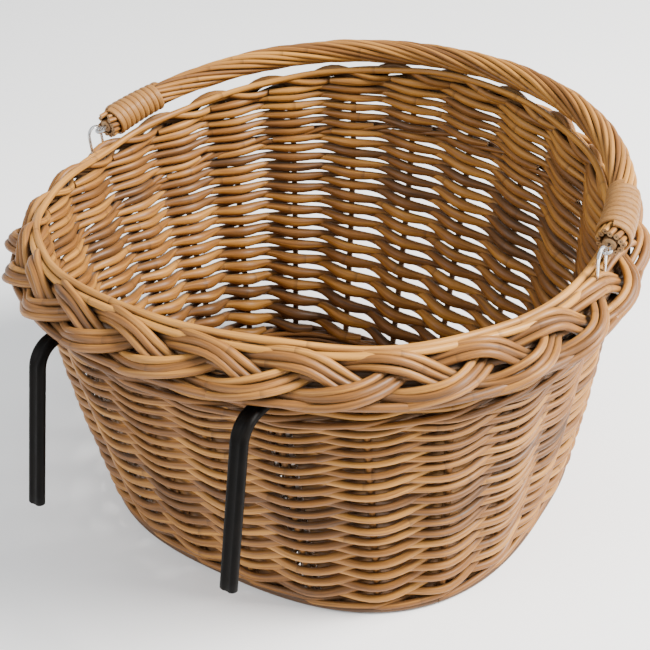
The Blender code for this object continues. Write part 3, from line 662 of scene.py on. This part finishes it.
def build_border_filling():
    """Rods laid along the plait, which close the gaps between its strands."""
    mesh = RodMesh()
    draw = random.Random(88)
    angle = TURN * np.arange(BORDER_STEPS) / BORDER_STEPS
    face = plait_centre(angle, 0.0)[1]
    centre, outward = oval(RIM_HALF, MOUTH_SQUARENESS, angle)
    centre[:, 2] += rim_height(angle)
    across = outward * math.cos(PLAIT_SLANT) - UP * math.sin(PLAIT_SLANT)
    for k, (shift, level, tint) in enumerate(FILLING):
        height = level + FILLING_WANDER * wobble(angle, 700 + k, (5, 9, 14))
        place = shift + FILLING_WANDER * wobble(angle, 720 + k, (4, 7, 11))
        path = centre + across * place[:, None] + face * height[:, None]
        # the paleness paints shade on the deep rods and light on the inner-edge rods
        mesh.rod(path, FILLING_RADIUS, face, closed=True, sides=10,
                 tint=tint + draw.uniform(-0.1, 0.1), seed=draw.uniform(0, 40))
    mesh.build("border_filling", BASKET, WILLOW)


# ---- the base ----------------------------------------------------------------------------------
def base_oval(size, angle):
    """size is 1 at the foot of the wall and 0 at the core of the base."""
    edge = (BASE_HALF_X - BASE_MARGIN, (BASE_FRONT_Y + BASE_BACK_Y) / 2 - BASE_MARGIN)
    half = [inner + (outer - inner) * size for inner, outer in zip(BASE_CORE, edge)]
    squareness = np.where(np.sin(angle) < 0.0, FRONT_SQUARENESS, BACK_SQUARENESS)
    ring, _ = oval(half, 2.0 + (squareness - 2.0) * size, angle)
    ring[:, 1] += MIDDLE_Y
    return ring


def build_base():
    """Rounds of thin rods that rise and dip by turns, two thicker ones at the edge, the sticks."""
    steps = BASE_SPOKES * STEPS_PER_SPOKE
    angle = TURN * np.arange(steps) / steps
    mesh = RodMesh()
    draw = random.Random(9)
    for k in range(BASE_ROUNDS):
        path = base_oval((k + 0.5) / BASE_ROUNDS, angle)
        wave = np.cos(BASE_SPOKES / 2 * angle + math.pi * (k % 2))
        path[:, 2] = BASE_LEVEL + BASE_SWING * wave
        hints = np.broadcast_to(UP, path.shape)
        mesh.rod(path, BASE_ROD_RADIUS, hints, closed=True, sides=6, tint=draw.uniform(0.2, 0.8),
                 seed=draw.uniform(0, 40))
    for rise in BASE_EDGE_RISES:
        path = base_oval(BASE_EDGE_SIZE, angle)
        path[:, 2] = BASE_LEVEL + rise
        hints = np.broadcast_to(UP, path.shape)
        mesh.rod(path, BASE_EDGE_RADIUS, hints, closed=True, sides=8, tint=draw.uniform(0.1, 0.5),
                 seed=draw.uniform(0, 40))
    mesh.build("base_weave_rods", BASKET, WILLOW, ("base_weave",))
    sticks = [f"base_stick_short_{k + 1}" for k in range(6)]
    sticks += [f"base_stick_long_{k + 1}" for k in range(3)]
    for name in sticks:
        build_stick(name)


def build_stick(node):
    """A round stick along the middle of its CAD node. The outer long sticks fan out at the ends."""
    low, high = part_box(node)
    draw = random.Random(node)
    share = np.linspace(0.0, 1.0, STICK_STEPS)
    middle = (np.array(low) + np.array(high)) / 2
    is_long = "long" in node
    axis = 0 if is_long else 1
    path = np.tile(middle, (STICK_STEPS, 1))
    path[:, axis] = low[axis] + (high[axis] - low[axis]) * share
    if is_long:
        place = int(node[-1]) - 2
        fan = np.clip(np.abs(path[:, 0]) - FAN_START, 0.0, None) * math.tan(FAN_ANGLE)
        path[:, 1] = MIDDLE_Y + place * (LONG_STICK_SPACING + fan)
    hints = np.broadcast_to(UP, path.shape)
    mesh = RodMesh()
    radius = LONG_STICK_RADIUS if is_long else SHORT_STICK_RADIUS
    mesh.rod(path, radius, hints, sides=10, tint=draw.uniform(0.2, 0.7), seed=draw.uniform(0, 40))
    mesh.build(f"willow_{node}", BASKET, WILLOW, (node,), CUT_END)


# ---- hooks -------------------------------------------------------------------------------------
def hook_route(name):
    """Middle of a sleeve: out from the wall under the border, round the bend and down."""
    angle = HOOK_ANGLES[name]
    x = math.copysign(HOOK_HALF_SPACING, math.cos(angle))
    start_y = wall_point(np.array([angle]), HOOK_WALL_FRACTION)[0, 1] - SLEEVE_START
    turn = math.pi / 2 - HOOK_LEAN
    bend_y = HOOK_CORNER_Y + HOOK_BEND * math.tan(turn / 2)
    arc = np.linspace(0.0, turn, 13)
    y = bend_y - HOOK_BEND * np.sin(arc)
    z = HOOK_RUN_Z - HOOK_BEND * (1.0 - np.cos(arc))
    drop = np.linspace(0.0, z[-1] - HOOK_END_Z, 14)[1:]
    y = np.concatenate([[start_y, (start_y + bend_y) / 2], y, y[-1] - drop * math.tan(HOOK_LEAN)])
    z = np.concatenate([[HOOK_RUN_Z, HOOK_RUN_Z], z, z[-1] - drop])
    return np.stack([np.full_like(y, x), y, z], axis=-1)


def sleeve_outline(half_width, half_thick, groove):
    """Plastic drawn tight over two wires: a flat slot outline with a groove down both faces."""
    outline = []
    straight = half_width - half_thick
    for side in (1, -1):
        for turn in np.linspace(-math.pi / 2, math.pi / 2, 9):
            outline.append((side * (straight + half_thick * math.cos(turn)),
                            side * half_thick * math.sin(turn)))
        for share in (0.45, 0.18, -0.18, -0.45):
            dip = groove * math.exp(-(share / SLEEVE_GROOVE_WIDTH) ** 2)
            outline.append((side * straight * share * 2, side * (half_thick - dip)))
    return np.array(outline)


def build_hooks():
    """The sleeves of both hooks, a little narrower at their cut tips."""
    outline = sleeve_outline(*SLEEVE_HALF, SLEEVE_GROOVE)
    for name in HOOK_ANGLES:
        route = hook_route(name)
        tip = unit(route[-1] - route[-2]) * SLEEVE_TIP
        route = np.concatenate([route[:-1], [route[-1] - tip], [route[-1]]])
        scale = np.ones(len(route))
        scale[-1] = SLEEVE_TIP_SCALE
        mesh = RodMesh()
        hints = np.broadcast_to([1.0, 0.0, 0.0], route.shape)
        mesh.sweep(route, outline[None] * scale[:, None, None], hints, False, 0.5, 0.0)
        mesh.build(f"hook_cover_{name}", BASKET, SLEEVE, (f"hook_sleeve_{name}",))


# ---- handle ------------------------------------------------------------------------------------
def bow_route(count):
    """Evenly spaced points of the bow from the +X end to the -X end, and their lengths."""
    first = math.asin(BOW_START / BOW_REACH)
    angle = np.linspace(first, math.pi - first, BOW_FINE_STEPS)
    flat, _ = oval((BOW_HALF_SPAN, BOW_REACH), BOW_SQUARENESS, angle)
    dense = np.stack([flat[:, 0], flat[:, 1] * math.cos(BOW_TILT),
                      PIVOT_Z + flat[:, 1] * math.sin(BOW_TILT)], axis=-1)
    run = np.concatenate([[0.0], np.cumsum(np.linalg.norm(np.diff(dense, axis=0), axis=1))])
    length = np.linspace(0.0, run[-1], count)
    return np.stack([np.interp(length, run, dense[:, i]) for i in range(3)], axis=-1), length


BOW_NORMAL = np.array([0.0, -math.sin(BOW_TILT), math.cos(BOW_TILT)])


def round_the_bow(route, turn, radius):
    """Points at a distance from the bow's middle line, turned round it by an angle each."""
    along = path_tangents(route, False)
    side = np.broadcast_to(BOW_NORMAL, route.shape)
    lift = np.cross(along, side)
    radius = np.broadcast_to(radius, len(route))[:, None]
    outward = side * np.cos(turn)[:, None] + lift * np.sin(turn)[:, None]
    return route + outward * radius, outward


def build_roping():
    """Rods laid round the core in a long twist, three to a piece."""
    route, length = bow_route(ROPING_STEPS)
    total = length[-1]
    from_end = np.minimum(length, total - length)
    for k in range(4):
        draw = random.Random(600 + k)
        mesh = RodMesh()
        for j in range(HANDLE_RODS // 4):
            number = 3 * k + j
            sway = HANDLE_SWAY[0] * np.sin(TURN * length / HANDLE_SWAY[1] + draw.uniform(0, TURN))
            turn = TURN * (length / HANDLE_PITCH + (number - 1) / HANDLE_RODS) + sway
            wave = np.sin(TURN * length / HANDLE_BULGE[1] + draw.uniform(0, TURN))
            near_end = np.clip(1.0 - from_end / HANDLE_END_SPREAD[1], 0, 1)
            spread = HANDLE_LAY_RADIUS + HANDLE_BULGE[0] * wave + HANDLE_END_SPREAD[0] * near_end
            path, outward = round_the_bow(route, turn, spread)
            trim = draw.randrange(0, 2)
            keep = slice(trim, len(path) - draw.randrange(0, 2))
            radius = HANDLE_ROD_RADIUS * draw.uniform(0.92, 1.08)
            mesh.rod(path[keep], radius, outward[keep], sides=10, tint=draw.uniform(0.35, 1.10),
                     seed=draw.uniform(0, 40))
        mesh.build(f"handle_roping_{k + 1}", HANDLE, WILLOW, (f"handle_rope_{k + 1}",),
                   CUT_END)


def build_core():
    """The rod inside the roping."""
    route, _ = bow_route(CORE_STEPS)
    mesh = RodMesh()
    hints = np.broadcast_to(BOW_NORMAL, route.shape)
    mesh.rod(route, HANDLE_CORE_RADIUS, hints, sides=12, tint=0.35, seed=3.0)
    mesh.build("handle_core_rod", HANDLE, WILLOW, ("handle_core",), CUT_END)


def strip_outline(half_width, thickness):
    """Split cane: a domed outer face over a flat one. The first axis points outwards."""
    outline = []
    for turn in np.linspace(-math.pi / 2, math.pi / 2, 9):
        outline.append((thickness * math.cos(turn) ** 0.7, half_width * math.sin(turn)))
    outline += [(-CANE_BACK, half_width * 0.9), (-CANE_BACK, -half_width * 0.9)]
    return np.array(outline)


def build_whippings():
    """A strip of cane wound round each end, its turns lying side by side."""
    route, length = bow_route(WHIPPING_ROUTE_STEPS)
    total = length[-1]
    pitch = WHIPPING_LENGTH / WHIPPING_TURNS
    outline = strip_outline(pitch * CANE_FILL, CANE_THICKNESS)
    count = WHIPPING_TURNS * STEPS_PER_TURN
    turn = np.linspace(0.0, TURN * WHIPPING_TURNS, count)
    share = turn / (TURN * WHIPPING_TURNS)
    place = WHIPPING_START + WHIPPING_LENGTH * share
    radius = WHIPPING_RADIUS + WHIPPING_SWELL * (1.0 - share)
    for name, from_end in (("right", length), ("left", total - length)):
        order = np.argsort(from_end)
        centre = np.stack([np.interp(place, from_end[order], route[order, i]) for i in range(3)],
                          axis=-1)
        path, outward = round_the_bow(centre, turn, radius)
        mesh = RodMesh()
        mesh.sweep(path, outline, outward, False, 0.5, 7.0)
        mesh.build(f"cane_whipping_{name}", HANDLE, CANE, (f"whipping_{name}",))


def repaint_fittings():
    """The wires keep their CAD shape and get a material of their own."""
    for node in ("staple_left", "staple_right", "split_pin_left", "split_pin_right",
                 "hook_wire_left", "hook_wire_right"):
        frame["nodes"][node].data.materials.clear()
        frame["nodes"][node].data.materials.append(STEEL)


# ---- stage -------------------------------------------------------------------------------------
CAMERA_TARGET = Vector((0.0021, -0.0082, 0.1095))
CAMERA_DISTANCE = 0.7334
CAMERA_AZIMUTH = math.radians(34.94)
CAMERA_ELEVATION = math.radians(35.28)
CAMERA_ROLL = math.radians(-5.0)
CAMERA_LENS = 64.17
FLOOR_REACH = 8.0
FLOOR_Z = -0.0004            # just under the basket's lowest point
SKY_COLOUR = (0.91, 0.96, 1.0, 1.0)
SKY_STRENGTH = 0.84
LIT_POINT = (0.0, 0.0, 0.12)


def add_camera():
    """A camera at the photo's viewing angle, fitted to the outlines of the rim and the wall."""
    a, e, roll = CAMERA_AZIMUTH, CAMERA_ELEVATION, CAMERA_ROLL
    back = Vector((math.sin(a) * math.cos(e), -math.cos(a) * math.cos(e), math.sin(e)))
    level = Vector((math.cos(a), math.sin(a), 0.0))
    over = back.cross(level)
    right = level * math.cos(roll) + over * math.sin(roll)
    up = over * math.cos(roll) - level * math.sin(roll)
    data = bpy.data.cameras.new("photo_view")
    data.lens = CAMERA_LENS
    data.clip_start = 0.01
    camera = bpy.data.objects.new("photo_view", data)
    camera.matrix_world = (Matrix.Translation(CAMERA_TARGET + back * CAMERA_DISTANCE)
                           @ Matrix((right, up, back)).transposed().to_4x4())
    bpy.context.collection.objects.link(camera)
    bpy.context.scene.camera = camera


def add_floor():
    mesh = bpy.data.meshes.new("floor")
    corners = [(x * FLOOR_REACH, y * FLOOR_REACH, FLOOR_Z)
               for x, y in ((-1, -1), (1, -1), (1, 1), (-1, 1))]
    mesh.from_pydata(corners, [], [(0, 1, 2, 3)])
    mesh.materials.append(floor_material())
    floor = bpy.data.objects.new("floor", mesh)
    bpy.context.collection.objects.link(floor)


def add_area_light(name, place, size, power, colour):
    data = bpy.data.lights.new(name, "AREA")
    data.shape = "DISK"
    data.size = size
    data.energy = power
    data.color = colour
    light = bpy.data.objects.new(name, data)
    light.location = place
    light.rotation_euler = (Vector(LIT_POINT) - Vector(place)).to_track_quat("-Z", "Y").to_euler()
    bpy.context.collection.objects.link(light)


def add_lights():
    world = bpy.data.worlds.new("studio")
    world.use_nodes = True
    background = world.node_tree.nodes["Background"]
    background.inputs["Color"].default_value = SKY_COLOUR
    background.inputs["Strength"].default_value = SKY_STRENGTH
    bpy.context.scene.world = world
    add_area_light("key_right", place=(1.35, 0.55, 1.45), size=1.0, power=154.0,
                   colour=(1.0, 0.97, 0.93))
    add_area_light("fill_left", place=(-0.9, -1.5, 1.3), size=1.4, power=26.0,
                   colour=(1.0, 1.0, 1.0))


add_camera()
build_side_weave()
build_wale("upsett_wale_rods", fraction=0.0, rise=0.0052, rod_radius=0.0020,
           node="upsett_wale", lift=0.0014, seed=21)
build_wale("top_wale_rods", fraction=0.876, rise=0.0, rod_radius=0.0017,
           node="top_wale", lift=0.0016, seed=22)
build_foot()
build_stakes()
build_border()
build_border_filling()
build_base()
build_hooks()
build_core()
build_roping()
build_whippings()
repaint_fittings()
add_floor()
add_lights()
